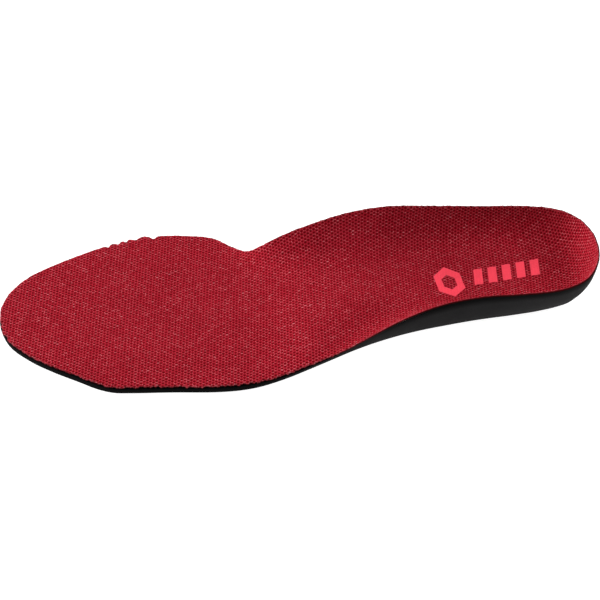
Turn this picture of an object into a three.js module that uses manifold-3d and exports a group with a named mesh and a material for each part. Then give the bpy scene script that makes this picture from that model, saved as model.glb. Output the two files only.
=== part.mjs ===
// Cushioned insole for a left shoe: a moulded foam body with a deep heel cup and a raised arch,
// a knitted mesh cover laminated over it, and two cushion pads let into its underside.
// Millimetres. +X runs from heel to toe, +Y to the outer (lateral) side of the foot, +Z up.
// The origin is on the underside, below the centre of the heel seat.

import * as THREE from 'three';
import { mergeVertices } from 'three/addons/utils/BufferGeometryUtils.js';
import Module from 'manifold-3d';

const wasm = await Module();
wasm.setup();

// ---- Overall sizes ----
const LENGTH = 266;
const HEEL_SEAT = 33;          // from the back of the heel to the centre of the heel seat
const BALL_LATERAL = 54.7;     // from the heel's centreline out to each edge
const BALL_MEDIAL = 40;
const HEEL_LATERAL = 27;
const HEEL_MEDIAL = 26;
const TOE_OFFSET = 7;          // how far the toe's tip lies to the lateral side

// ---- Heights of the foam ----
const FOREFOOT_FOAM = 3.2;
const HEEL_FOAM = 6.5;
const WAIST_FOAM = 9;
const CUP_LATERAL = 20;
const CUP_BACK = 23.5;
const CUP_MEDIAL = 23;
const ARCH_HEIGHT = 28.5;

// ---- Flare: how far the rim overhangs the flat underside ----
const EDGE_FLARE = 0.4;
const WAIST_FLARE = 4.5;
const HEEL_FLARE = 6.5;
const ARCH_FLARE = 9;
const FLANK_BULGE = 0.07;      // outward bow of the flank, as a share of its height

// ---- Section across the top: a shallow bowl, then a wall ----
const BOWL_SHARE = 0.22;       // share of the rise that the bowl takes
const WALL_POWER = 5;          // the higher, the later and steeper the wall

// ---- Layers ----
const COVER = 0.9;
const GLUE_FILM = 0.15;
const CLEARANCE = 0.3;
const COVER_BOTTOM = GLUE_FILM + 2 * CLEARANCE;   // above the foam

// ---- Cushion pads in the underside ----
const PAD_MARGIN = 5.5;        // least foam between a heel pad and the edge of the underside
const HEEL_PAD_EDGES = {
  lateral: HEEL_LATERAL - HEEL_FLARE - PAD_MARGIN,
  medial: HEEL_MEDIAL - HEEL_FLARE - PAD_MARGIN,
};
const HEEL_PAD = {
  x: 0,
  y: (HEEL_PAD_EDGES.lateral - HEEL_PAD_EDGES.medial) / 2,
  length: 42,
  width: HEEL_PAD_EDGES.lateral + HEEL_PAD_EDGES.medial,
  thick: 3,
};
const FOREFOOT_PAD = {
  x: 0.66 * LENGTH - HEEL_SEAT,
  y: (BALL_LATERAL - BALL_MEDIAL) / 2,
  length: 62,
  width: 58,
  thick: 1.2,
};
const PAD_ROUNDNESS = 0.8;     // corner radius as a share of half the pad's width

// ---- Printed marks on the heel seat ----
const PRINT = 0.2;
const PRINT_GAP = 0.35;        // from the cover to a mark, with room for the mesh's facets
const EMBLEM = { x: 33, y: 5, halfLength: 7, halfWidth: 9.5, hole: 0.5 };
const BAR = { length: 9.5, width: 4, pitch: 6.6, slant: 2 };
const FIRST_BAR = { x: 19.5, y: 2 };
const BAR_COUNT = 5;
const PRINT_TURN = 0.145;      // radians that the row of marks turns from the X axis

// ---- Fineness of the mesh ----
const STATION_STEP = 7;
const FAN_RAYS = 8;
const RINGS = 7;
const FLANK_ROWS = 4;
const RING_CROWDING = 1.35;    // above 1, the rings crowd towards the rim
const RIM_SAMPLES = 1600;

const UP = new THREE.Vector3(0, 0, 1);

/** Rim of the foam, toe tip first, round the lateral side to the heel and back by the arch. */
const RIM = [
  // along (share of length), across, height, flare
  [1.000, TOE_OFFSET, FOREFOOT_FOAM, EDGE_FLARE],
  [0.982, 0.39 * BALL_LATERAL, FOREFOOT_FOAM, EDGE_FLARE],
  [0.933, 0.61 * BALL_LATERAL, FOREFOOT_FOAM, EDGE_FLARE],
  [0.868, 0.81 * BALL_LATERAL, FOREFOOT_FOAM, EDGE_FLARE],
  [0.828, 0.92 * BALL_LATERAL, FOREFOOT_FOAM, EDGE_FLARE],
  [0.800, 0.945 * BALL_LATERAL, FOREFOOT_FOAM, EDGE_FLARE],
  [0.724, 0.97 * BALL_LATERAL, FOREFOOT_FOAM, EDGE_FLARE],
  [0.640, BALL_LATERAL, FOREFOOT_FOAM, EDGE_FLARE],
  [0.592, 0.985 * BALL_LATERAL, 1.02 * FOREFOOT_FOAM, EDGE_FLARE],
  [0.545, 0.94 * BALL_LATERAL, 1.15 * FOREFOOT_FOAM, 0.35 * WAIST_FLARE],
  [0.478, 0.83 * BALL_LATERAL, 0.28 * CUP_LATERAL, 0.75 * WAIST_FLARE],
  [0.409, 0.69 * BALL_LATERAL, 0.43 * CUP_LATERAL, 0.85 * WAIST_FLARE],
  [0.341, 0.57 * BALL_LATERAL, 0.62 * CUP_LATERAL, 0.7 * WAIST_FLARE],
  [0.273, HEEL_LATERAL, 0.8 * CUP_LATERAL, 0.6 * WAIST_FLARE],
  [0.207, 0.97 * HEEL_LATERAL, 0.93 * CUP_LATERAL, 0.7 * HEEL_FLARE],
  [0.141, HEEL_LATERAL, 0.98 * CUP_LATERAL, 1.1 * HEEL_FLARE],
  [0.075, 0.97 * HEEL_LATERAL, CUP_LATERAL, 1.4 * HEEL_FLARE],
  [0.032, 0.82 * HEEL_LATERAL, 0.89 * CUP_BACK, 1.4 * HEEL_FLARE],
  [0.006, 0.48 * HEEL_LATERAL, 0.95 * CUP_BACK, 1.1 * HEEL_FLARE],
  [0.000, 0.12 * HEEL_LATERAL, CUP_BACK, HEEL_FLARE],
  [0.006, -0.28 * HEEL_MEDIAL, CUP_BACK, HEEL_FLARE],
  [0.025, -0.62 * HEEL_MEDIAL, CUP_BACK, HEEL_FLARE],
  [0.060, -0.87 * HEEL_MEDIAL, CUP_MEDIAL, HEEL_FLARE],
  [0.110, -0.98 * HEEL_MEDIAL, CUP_MEDIAL, HEEL_FLARE],
  [0.180, -HEEL_MEDIAL, 1.04 * CUP_MEDIAL, HEEL_FLARE],
  [0.265, -HEEL_MEDIAL, 0.91 * ARCH_HEIGHT, 0.85 * ARCH_FLARE],
  [0.345, -0.96 * HEEL_MEDIAL, ARCH_HEIGHT, ARCH_FLARE],
  [0.410, -0.99 * HEEL_MEDIAL, 0.88 * ARCH_HEIGHT, ARCH_FLARE],
  [0.480, -0.93 * HEEL_MEDIAL, 0.7 * ARCH_HEIGHT, 0.8 * ARCH_FLARE],
  [0.538, -0.9 * HEEL_MEDIAL, 0.45 * ARCH_HEIGHT, 0.6 * ARCH_FLARE],
  [0.574, -0.59 * BALL_MEDIAL, 2.0 * FOREFOOT_FOAM, 0.4 * ARCH_FLARE],
  [0.600, -0.7 * BALL_MEDIAL, 1.3 * FOREFOOT_FOAM, 2 * EDGE_FLARE],
  [0.624, -0.86 * BALL_MEDIAL, FOREFOOT_FOAM, EDGE_FLARE],
  [0.660, -0.95 * BALL_MEDIAL, FOREFOOT_FOAM, EDGE_FLARE],
  [0.735, -BALL_MEDIAL, FOREFOOT_FOAM, EDGE_FLARE],
  [0.775, -0.98 * BALL_MEDIAL, FOREFOOT_FOAM, EDGE_FLARE],
  [0.830, -0.86 * BALL_MEDIAL, FOREFOOT_FOAM, EDGE_FLARE],
  [0.898, -0.66 * BALL_MEDIAL, FOREFOOT_FOAM, EDGE_FLARE],
  [0.950, -0.47 * BALL_MEDIAL, FOREFOOT_FOAM, EDGE_FLARE],
  [0.984, -0.22 * BALL_MEDIAL, FOREFOOT_FOAM, EDGE_FLARE],
];

/** Spine: the line under the middle of the foot that the surface is spread out from. */
const SPINE = [
  // along (share of length), across, height of the foam
  [0.105, 0, HEEL_FOAM],
  [0.200, 0.2, 1.02 * HEEL_FOAM],
  [0.300, 2, 0.92 * WAIST_FOAM],
  [0.400, 6, WAIST_FOAM],
  [0.480, 9, 0.82 * WAIST_FOAM],
  [0.560, 10, 1.3 * FOREFOOT_FOAM],
  [0.620, 9, FOREFOOT_FOAM],
  [0.740, 8, FOREFOOT_FOAM],
  [0.870, TOE_OFFSET, FOREFOOT_FOAM],
];

const alongX = (share) => share * LENGTH - HEEL_SEAT;
const curveThrough = (points, closed) => new THREE.CatmullRomCurve3(points, closed, 'centripetal');

const rimCurve = curveThrough(RIM.map(([a, y, z]) => new THREE.Vector3(alongX(a), y, z)), true);
const flareCurve = curveThrough(RIM.map(([, , , f], i) => new THREE.Vector3(f, i, 0)), true);
const spineCurve = curveThrough(SPINE.map(([a, y, z]) => new THREE.Vector3(alongX(a), y, z)), false);

const rimSamples = Array.from({ length: RIM_SAMPLES + 1 }, (_, i) => rimCurve.getPoint(i / RIM_SAMPLES));

/** Where a level ray from the spine meets the rim: the point on the rim and the flare there. */
function meetRim(from, direction) {
  const side = (p) => direction.x * (p.y - from.y) - direction.y * (p.x - from.x);
  const ahead = (p) => direction.x * (p.x - from.x) + direction.y * (p.y - from.y);
  for (let i = 0; i < RIM_SAMPLES; i += 1) {
    const [a, b] = [rimSamples[i], rimSamples[i + 1]];
    const [sideA, sideB] = [side(a), side(b)];
    if (sideA * sideB <= 0 && sideA !== sideB && ahead(a) > 0) {
      const share = sideA / (sideA - sideB);
      const point = a.clone().lerp(b, share);
      return { point, flare: flareCurve.getPoint((i + share) / RIM_SAMPLES).x };
    }
  }
  throw new Error('a ray from the spine misses the rim');
}

/** The spine's point at a given X. */
function spineAt(x) {
  let low = 0;
  let high = 1;
  for (let i = 0; i < 40; i += 1) {
    const middle = (low + high) / 2;
    if (spineCurve.getPoint(middle).x < x) low = middle;
    else high = middle;
  }
  return spineCurve.getPoint(low);
}

/** One ray: its start on the spine, its level direction, its rim point and its flare. */
function makeRay(start, angle) {
  const direction = new THREE.Vector3(Math.cos(angle), Math.sin(angle), 0);
  return { start, direction, ...meetRim(start, direction) };
}

/** All rays in order round the insole: lateral side to the toe, medial side to the heel. */
function makeRays() {
  const heelEnd = spineCurve.getPoint(0);
  const toeEnd = spineCurve.getPoint(1);
  const steps = Math.round((toeEnd.x - heelEnd.x) / STATION_STEP);
  const stations = Array.from({ length: steps + 1 }, (_, i) => {
    if (i === 0) return heelEnd;
    if (i === steps) return toeEnd;
    return spineAt(THREE.MathUtils.lerp(heelEnd.x, toeEnd.x, i / steps));
  });
  const fan = (start, from) => Array.from({ length: FAN_RAYS - 1 }, (_, i) =>
    makeRay(start, from - (Math.PI * (i + 1)) / FAN_RAYS));
  return [
    ...stations.map((p) => makeRay(p, Math.PI / 2)),
    ...fan(toeEnd, Math.PI / 2),
    ...stations.toReversed().map((p) => makeRay(p, -Math.PI / 2)),
    ...fan(heelEnd, -Math.PI / 2),
  ];
}

/** How the foam rises from the spine, 0, to the rim, 1: a shallow dish with a steep wall. */
const dish = (t) => BOWL_SHARE * t ** 2 + (1 - BOWL_SHARE) * t ** WALL_POWER;
const ringShare = (j) => 1 - (1 - j / (RINGS - 1)) ** RING_CROWDING;

const rays = makeRays();

/** Top of the foam at share t of the way along a ray. */
function foamTop(ray, t) {
  const point = ray.start.clone().lerp(ray.point, t);
  point.z = ray.start.z + (ray.point.z - ray.start.z) * dish(t);
  return point;
}

/** Unit normal of the foam's top at ring j of ray i. */
function topNormal(i, j) {
  if (j === 0) return UP.clone();
  const t = ringShare(j);
  const count = rays.length;
  const around = foamTop(rays[(i + 1) % count], t).sub(foamTop(rays[(i + count - 1) % count], t));
  const back = 0.02;
  const outward = foamTop(rays[i], t).sub(foamTop(rays[i], t - back));
  return outward.cross(around).normalize().multiplyScalar(-1);
}

/** A loop of points round the insole at ring j, raised off the foam by a distance. */
const topLoop = (j, raise) => rays.map((ray, i) =>
  foamTop(ray, ringShare(j)).addScaledVector(topNormal(i, j), raise));

const ringNumbers = Array.from({ length: RINGS }, (_, j) => j);

/**
 * The closed geometry of a stack of loops that starts and ends on the spine. The first RINGS
 * loops are an upper side. The rest come back below it, with their quads split the same way.
 */
function skin(loops) {
  const corners = [];
  const triangle = (a, b, c) => {
    if (a.distanceTo(b) > 1e-6 && b.distanceTo(c) > 1e-6 && c.distanceTo(a) > 1e-6) {
      corners.push(...a.toArray(), ...b.toArray(), ...c.toArray());
    }
  };
  const quad = (a, b, c, d) => {
    triangle(a, b, c);
    triangle(a, c, d);
  };
  for (let k = 0; k + 1 < loops.length; k += 1) {
    const [inner, outer] = [loops[k], loops[k + 1]];
    inner.forEach((_, i) => {
      const next = (i + 1) % inner.length;
      if (k < RINGS - 1) quad(inner[next], outer[next], outer[i], inner[i]);
      else quad(inner[i], inner[next], outer[next], outer[i]);
    });
  }
  const geometry = new THREE.BufferGeometry();
  geometry.setAttribute('position', new THREE.Float32BufferAttribute(corners, 3));
  return geometry;
}

/** A sheet that follows the foam's top between two heights above it. */
function sheet(low, high) {
  return skin([
    ...ringNumbers.map((j) => topLoop(j, high)),
    ...ringNumbers.toReversed().map((j) => topLoop(j, low)),
  ]);
}

/** A loop on the flank: share 1 is the rim, share 0 the edge of the flat underside. */
const flankLoop = (share) => rays.map((ray) => {
  const bow = ray.point.z * FLANK_BULGE * Math.sin(Math.PI * share);
  const inset = ray.flare * (1 - share) - bow;
  const point = ray.point.clone().addScaledVector(ray.direction, -inset);
  point.z = ray.point.z * share;
  return point;
});

/** The foam before its pockets are cut. */
function foamBlank() {
  const flank = Array.from({ length: FLANK_ROWS }, (_, k) => flankLoop(1 - (k + 1) / FLANK_ROWS));
  const underSpine = rays.map((ray) => new THREE.Vector3(ray.start.x, ray.start.y, 0));
  return skin([...ringNumbers.map((j) => topLoop(j, 0)), ...flank, underSpine]);
}

/** A flat plate with round corners, from height low to high, grown sideways by a margin. */
function padPlate(pad, low, high, margin) {
  const [halfX, halfY] = [pad.length / 2 + margin, pad.width / 2 + margin];
  const corner = (PAD_ROUNDNESS * pad.width) / 2 + margin;
  const outline = new THREE.Shape();
  outline.moveTo(pad.x + halfX, pad.y - halfY + corner);
  outline.absarc(pad.x + halfX - corner, pad.y + halfY - corner, corner, 0, Math.PI / 2);
  outline.absarc(pad.x - halfX + corner, pad.y + halfY - corner, corner, Math.PI / 2, Math.PI);
  outline.absarc(pad.x - halfX + corner, pad.y - halfY + corner, corner, Math.PI, 1.5 * Math.PI);
  outline.absarc(pad.x + halfX - corner, pad.y - halfY + corner, corner, 1.5 * Math.PI, 2 * Math.PI);
  const options = { depth: high - low, bevelEnabled: false, curveSegments: 8 };
  const geometry = new THREE.ExtrudeGeometry(outline, options);
  geometry.translate(0, 0, low);
  return geometry;
}

/** A manifold solid of a closed geometry. */
function toSolid(geometry) {
  const bare = new THREE.BufferGeometry();
  const positions = geometry.index ? geometry.toNonIndexed() : geometry;
  bare.setAttribute('position', positions.getAttribute('position').clone());
  const merged = mergeVertices(bare, 1e-4);
  return new wasm.Manifold(new wasm.Mesh({
    numProp: 3,
    vertProperties: merged.getAttribute('position').array,
    triVerts: Uint32Array.from(merged.index.array),
  }));
}

/** The geometry of a manifold solid. */
function toGeometry(solid) {
  const mesh = solid.getMesh();
  const geometry = new THREE.BufferGeometry();
  geometry.setAttribute('position', new THREE.Float32BufferAttribute(mesh.vertProperties, 3));
  geometry.setIndex(Array.from(mesh.triVerts));
  return geometry;
}

/** The height of a pocket's roof: the pad, its glue film and a clearance on each side of that. */
const pocketDepth = (pad) => pad.thick + GLUE_FILM + 2 * CLEARANCE;

/** The foam body with both pockets cut up into its flat underside. */
function foamBody() {
  const below = -1;
  const pocket = (pad) => toSolid(padPlate(pad, below, pocketDepth(pad), CLEARANCE));
  return toGeometry(toSolid(foamBlank())
    .subtract(pocket(HEEL_PAD))
    .subtract(pocket(FOREFOOT_PAD)));
}

/** The film that holds a pad to the roof of its pocket. */
const padFilm = (pad) =>
  padPlate(pad, pad.thick + CLEARANCE, pad.thick + CLEARANCE + GLUE_FILM, -CLEARANCE);

/** Height of the foam's top over a point of the plan. */
function foamHeight(x, y) {
  const start = spineAt(x);
  const reach = Math.hypot(x - start.x, y - start.y);
  if (reach < 1e-6) return start.z;
  const ray = makeRay(start, Math.atan2(y - start.y, x - start.x));
  const span = Math.hypot(ray.point.x - start.x, ray.point.y - start.y);
  return foamTop(ray, reach / span).z;
}

/** Height over a point of the plan of the surface that lies a distance off the foam's top. */
function raisedHeight(x, y, distance) {
  const step = 0.5;
  const slopeX = (foamHeight(x + step, y) - foamHeight(x - step, y)) / (2 * step);
  const slopeY = (foamHeight(x, y + step) - foamHeight(x, y - step)) / (2 * step);
  return foamHeight(x, y) + distance * Math.hypot(1, slopeX, slopeY);
}

/** A thin printed shape, turned and placed on the heel seat so that it follows the cover. */
function printOnSeat(outline, place) {
  const geometry = new THREE.ExtrudeGeometry(outline, { depth: PRINT, bevelEnabled: false });
  geometry.rotateZ(PRINT_TURN);
  geometry.translate(place.x, place.y, COVER_BOTTOM + COVER + PRINT_GAP);
  const positions = geometry.getAttribute('position');
  for (let i = 0; i < positions.count; i += 1) {
    const [x, y, distance] = [positions.getX(i), positions.getY(i), positions.getZ(i)];
    positions.setZ(i, raisedHeight(x, y, distance));
  }
  return geometry;
}

/** A hexagon as a path, with its own half length along X and half width along Y. */
function hexagon(path, halfLength, halfWidth) {
  for (let k = 0; k < 6; k += 1) {
    const angle = (Math.PI * k) / 3 + Math.PI / 6;
    const [x, y] = [halfLength * Math.cos(angle), halfWidth * Math.sin(angle)];
    if (k === 0) path.moveTo(x, y);
    else path.lineTo(x, y);
  }
  path.closePath();
  return path;
}

/** The larger mark: an upright hexagon with a hexagonal hole. */
function emblem() {
  const { halfLength, halfWidth, hole } = EMBLEM;
  const outline = hexagon(new THREE.Shape(), halfLength, halfWidth);
  outline.holes.push(hexagon(new THREE.Path(), hole * halfLength, hole * halfWidth));
  return printOnSeat(outline, EMBLEM);
}

/** One slanted bar of the row behind the emblem, counted towards the heel. */
function bar(number) {
  const [halfX, halfY, lean] = [BAR.width / 2, BAR.length / 2, BAR.slant / 2];
  const outline = new THREE.Shape([
    new THREE.Vector2(-halfX - lean, -halfY),
    new THREE.Vector2(halfX - lean, -halfY),
    new THREE.Vector2(halfX + lean, halfY),
    new THREE.Vector2(-halfX + lean, halfY),
  ]);
  return printOnSeat(outline, {
    x: FIRST_BAR.x - number * BAR.pitch * Math.cos(PRINT_TURN),
    y: FIRST_BAR.y - number * BAR.pitch * Math.sin(PRINT_TURN),
  });
}

const finish = (color, roughness) => new THREE.MeshStandardMaterial({ color, roughness, metalness: 0 });
const FOAM = finish(0x2a2829, 0.85);
const MESH_FABRIC = finish(0x9b2530, 0.8);
const GLUE = finish(0xd8cfae, 0.5);
const GEL = finish(0x3b3b3f, 0.6);
const INK = finish(0xec455a, 0.6);

const insole = new THREE.Group();

/** Adds one named sub-part. */
function add(name, geometry, material) {
  const mesh = new THREE.Mesh(geometry, material);
  mesh.name = name;
  insole.add(mesh);
}

add('foam_body', foamBody(), FOAM);
add('cover_adhesive', sheet(CLEARANCE, CLEARANCE + GLUE_FILM), GLUE);
add('top_cover', sheet(COVER_BOTTOM, COVER_BOTTOM + COVER), MESH_FABRIC);
add('heel_pad', padPlate(HEEL_PAD, 0, HEEL_PAD.thick, 0), GEL);
add('heel_pad_adhesive', padFilm(HEEL_PAD), GLUE);
add('forefoot_pad', padPlate(FOREFOOT_PAD, 0, FOREFOOT_PAD.thick, 0), GEL);
add('forefoot_pad_adhesive', padFilm(FOREFOOT_PAD), GLUE);
add('heel_emblem', emblem(), INK);
for (let number = 0; number < BAR_COUNT; number += 1) add(`heel_bar_${number + 1}`, bar(number), INK);

export default insole;
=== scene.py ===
"""Looks of a cushioned insole: a knitted mesh cover on a black moulded foam footbed."""

import logging
import math
from dataclasses import dataclass
from enum import Enum
from typing import Callable

import bmesh
import bpy
import numpy as np
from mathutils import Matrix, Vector
from mathutils.bvhtree import BVHTree
from mathutils.geometry import delaunay_2d_cdt
from mathutils.kdtree import KDTree


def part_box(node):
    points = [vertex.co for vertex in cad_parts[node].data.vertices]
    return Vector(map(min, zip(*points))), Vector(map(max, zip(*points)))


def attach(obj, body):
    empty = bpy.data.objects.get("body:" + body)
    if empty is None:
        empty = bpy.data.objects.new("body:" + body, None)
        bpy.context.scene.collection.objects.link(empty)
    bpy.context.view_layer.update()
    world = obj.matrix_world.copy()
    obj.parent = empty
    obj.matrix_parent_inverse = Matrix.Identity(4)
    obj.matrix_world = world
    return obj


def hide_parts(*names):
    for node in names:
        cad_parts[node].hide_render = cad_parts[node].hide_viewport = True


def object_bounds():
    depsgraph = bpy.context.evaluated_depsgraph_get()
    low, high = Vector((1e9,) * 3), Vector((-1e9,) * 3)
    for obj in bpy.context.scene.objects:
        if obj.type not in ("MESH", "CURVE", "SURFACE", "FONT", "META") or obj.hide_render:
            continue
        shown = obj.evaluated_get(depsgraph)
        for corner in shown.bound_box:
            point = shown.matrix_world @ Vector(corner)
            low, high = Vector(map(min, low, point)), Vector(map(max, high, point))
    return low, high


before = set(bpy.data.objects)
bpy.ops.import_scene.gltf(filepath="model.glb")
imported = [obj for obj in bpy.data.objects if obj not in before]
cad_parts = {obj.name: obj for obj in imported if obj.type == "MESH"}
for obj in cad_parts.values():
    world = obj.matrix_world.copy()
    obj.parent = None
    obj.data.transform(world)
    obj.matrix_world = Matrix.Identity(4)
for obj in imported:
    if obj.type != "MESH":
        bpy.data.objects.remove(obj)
CAD_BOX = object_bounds()

ROOT = "root"
MM = 0.001
UP = Vector((0, 0, 1))
log = logging.getLogger("insole")
Array = np.ndarray
Piece = bpy.types.Object


class Slot(Enum):
    """Names for material slots."""

    FOAM = "foam"
    COVER = "cover_fabric"
    CUSHION = "cushion_gel"
    GLUE = "adhesive"
    INK = "print_ink"


# ---- objects


def linked(name: str, data: bpy.types.ID) -> Piece:
    """Adds an object to the scene.

    Args:
        name: its name.
        data: its mesh, light or camera.

    Returns:
        The object, at the origin.
    """
    item = bpy.data.objects.new(name, data)
    bpy.context.scene.collection.objects.link(item)
    return item


def new_object(name: str, points: Array, faces: list) -> Piece:
    """Makes a mesh object at the origin.

    Args:
        name: the piece's name.
        points: corners as an (n, 3) array in metres.
        faces: lists of corner numbers.

    Returns:
        The linked object.
    """
    mesh = bpy.data.meshes.new(name)
    mesh.from_pydata(np.asarray(points, float).tolist(), [], [list(map(int, f)) for f in faces])
    mesh.update()
    return linked(name, mesh)


def make_active(piece: Piece) -> None:
    """Selects one object alone and makes it active.

    Args:
        piece: the object.
    """
    if bpy.context.object and bpy.context.object.mode != "OBJECT":
        bpy.ops.object.mode_set(mode="OBJECT")
    bpy.ops.object.select_all(action="DESELECT")
    piece.select_set(True)
    bpy.context.view_layer.objects.active = piece


def added(add: Callable, name: str, size: tuple, **settings: object) -> Piece:
    """Adds a primitive, sized to its box, and opens it for editing.

    Args:
        add: the operator that adds it.
        name: the piece's name.
        size: its lengths along X, Y and Z.
        settings: the operator's properties.

    Returns:
        The object, in edit mode.
    """
    bpy.ops.object.select_all(action="DESELECT")
    add(size=1, **settings)
    piece = bpy.context.object
    piece.name = piece.data.name = name
    piece.scale = size
    make_active(piece)
    bpy.ops.object.transform_apply(location=True, rotation=True, scale=True)
    bpy.ops.object.mode_set(mode="EDIT")
    return piece


def pick(piece: Piece, items: str, test: Callable) -> None:
    """Selects the edges or faces that pass a test, in edit mode, and no others.

    Args:
        piece: the object being edited.
        items: "edges" or "faces".
        test: takes an edge or a face.
    """
    bpy.ops.mesh.select_mode(type=items[:-1].upper())
    bpy.ops.mesh.select_all(action="DESELECT")
    mesh = bmesh.from_edit_mesh(piece.data)
    for item in getattr(mesh, items):
        item.select = bool(test(item))
    mesh.select_flush_mode()
    bmesh.update_edit_mesh(piece.data)


def apply_modifier(piece: Piece, kind: str, **settings: object) -> None:
    """Adds a modifier, sets it and applies it.

    Args:
        piece: the object that it shapes.
        kind: the modifier's type.
        settings: its properties by name.
    """
    make_active(piece)
    modifier = piece.modifiers.new(kind.title(), kind)
    for key, value in settings.items():
        setattr(modifier, key, value)
    bpy.ops.object.modifier_apply(modifier=modifier.name)


def face_outwards(piece: Piece, join: float = 0.0) -> None:
    """Turns the faces of a closed mesh outwards.

    Args:
        piece: the object.
        join: corners that are closer than this are joined first.
    """
    mesh = bmesh.new()
    mesh.from_mesh(piece.data)
    if join:
        bmesh.ops.remove_doubles(mesh, verts=mesh.verts, dist=join)
    bmesh.ops.recalc_face_normals(mesh, faces=mesh.faces)
    mesh.to_mesh(piece.data)
    mesh.free()


def dress(piece: Piece, material: bpy.types.Material, node: str, sharp: float) -> None:
    """Gives a piece its look, puts it under the root body and hides the CAD node that it replaces.

    Args:
        piece: the object.
        material: its material.
        node: the CAD node that it replaces.
        sharp: edges over this angle, in degrees, stay sharp.
    """
    make_active(piece)
    bpy.ops.object.shade_smooth_by_angle(angle=math.radians(sharp))
    piece.data.materials.append(material)
    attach(piece, ROOT)
    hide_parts(node)
    log.info("%s: %d faces", piece.name, len(piece.data.polygons))


def set_attribute(piece: Piece, name: str, parts: list) -> None:
    """Stores a value for each corner of a mesh, from arrays that follow each other."""
    attribute = piece.data.attributes.new(name, "FLOAT", "POINT")
    attribute.data.foreach_set("value", np.concatenate(parts).astype(np.float32))


def loop_corners(mesh: bpy.types.Mesh) -> Array:
    """The corner number of each face loop.

    Args:
        mesh: the mesh.

    Returns:
        The numbers in the order of the loops.
    """
    corner = np.zeros(len(mesh.loops), int)
    mesh.loops.foreach_get("vertex_index", corner)
    return corner


def merged_copy(node: str) -> bmesh.types.BMesh:
    """Copies a CAD node's mesh with its loose triangles joined.

    Args:
        node: the node's name.

    Returns:
        The copy, to be freed after use.
    """
    mesh = bmesh.new()
    mesh.from_mesh(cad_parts[node].data)
    bmesh.ops.remove_doubles(mesh, verts=mesh.verts, dist=1e-6)
    mesh.normal_update()
    return mesh


def plan_corners(node: str) -> Array:
    """The corners of an upright CAD node in plan, in order of their bearing from its middle."""
    corners = np.unique(np.round([v.co[:2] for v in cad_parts[node].data.vertices], 6), axis=0)
    return corners[np.argsort(bearings(corners))]


def bearings(corners: Array) -> Array:
    """The bearings of flat points from their middle, in radians."""
    offset = corners - corners.mean(0)
    return np.arctan2(offset[:, 1], offset[:, 0])


# ---- flat loops


def through(rows: Array, share: float) -> Array:
    """Finds a point on the smooth curve through four points, between the second and third.

    Args:
        rows: the four points, or four arrays of points.
        share: how far along, from 0 to 1.

    Returns:
        The point, or an array of points.
    """
    before, start, end, after = rows
    return 0.5 * (
        2 * start
        + (end - before) * share
        + (2 * before - 5 * start + 4 * end - after) * share**2
        + (3 * start - before - 3 * end + after) * share**3
    )


def refine_loop(points: Array, steps: int) -> Array:
    """Puts more points on a closed smooth loop.

    Args:
        points: an array whose first axis runs round the loop.
        steps: new intervals for each old one.

    Returns:
        The finer loop, which passes through the old points.
    """
    around = [np.roll(points, shift, axis=0) for shift in (1, 0, -1, -2)]
    finer = np.stack([through(around, k / steps) for k in range(steps)], axis=1)
    return finer.reshape(-1, *points.shape[1:])


def loop_area(loop: Array) -> float:
    """The area within a closed flat loop, positive where it runs anticlockwise."""
    (x, y), (there_x, there_y) = loop.T, np.roll(loop, -1, axis=0).T
    return float(np.sum(x * there_y - there_x * y) / 2)


def loop_normals(loop: Array) -> Array:
    """Finds the outward directions of a closed flat loop.

    Args:
        loop: its corners, in either direction.

    Returns:
        A unit normal for each corner.
    """
    ahead = np.roll(loop, -1, axis=0) - np.roll(loop, 1, axis=0)
    normal = np.stack([ahead[:, 1], -ahead[:, 0]], axis=1)
    normal /= np.maximum(np.linalg.norm(normal, axis=1, keepdims=True), 1e-12)
    return normal * np.sign(loop_area(loop))


def twice_area(a: Array, b: Array, c: Array) -> Array:
    """Twice the signed areas of flat triangles."""
    first, second = b - a, c - a
    return first[:, 0] * second[:, 1] - first[:, 1] * second[:, 0]


def inside(points: Array, loop: Array) -> Array:
    """Tells which points lie inside a closed flat loop, by the crossings of a level ray.

    Args:
        points: an (n, 2) array.
        loop: the loop's corners.

    Returns:
        True or False for each point.
    """
    found = np.zeros(len(points), bool)
    for (ax, ay), (bx, by) in zip(loop, np.roll(loop, -1, axis=0)):
        if ay == by:
            continue
        crosses = (ay > points[:, 1]) != (by > points[:, 1])
        at = ax + (points[:, 1] - ay) / (by - ay) * (bx - ax)
        found ^= crosses & (points[:, 0] < at)
    return found


def away_from(points: Array, loop: Array, gap: float) -> Array:
    """Tells which points are further than a gap from every corner of a loop.

    Args:
        points: an (n, 2) array.
        loop: the loop's corners.
        gap: the least distance.

    Returns:
        True or False for each point.
    """
    tree = KDTree(len(loop))
    for k, (x, y) in enumerate(loop):
        tree.insert((x, y, 0), k)
    tree.balance()
    return np.array([tree.find((x, y, 0))[2] >= gap for x, y in points], bool)


def band(first: Array, second: Array) -> list:
    """Faces between two closed loops of corner numbers that are as long as each other."""
    return np.stack([first, second, np.roll(second, -1), np.roll(first, -1)], axis=1).tolist()


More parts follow.
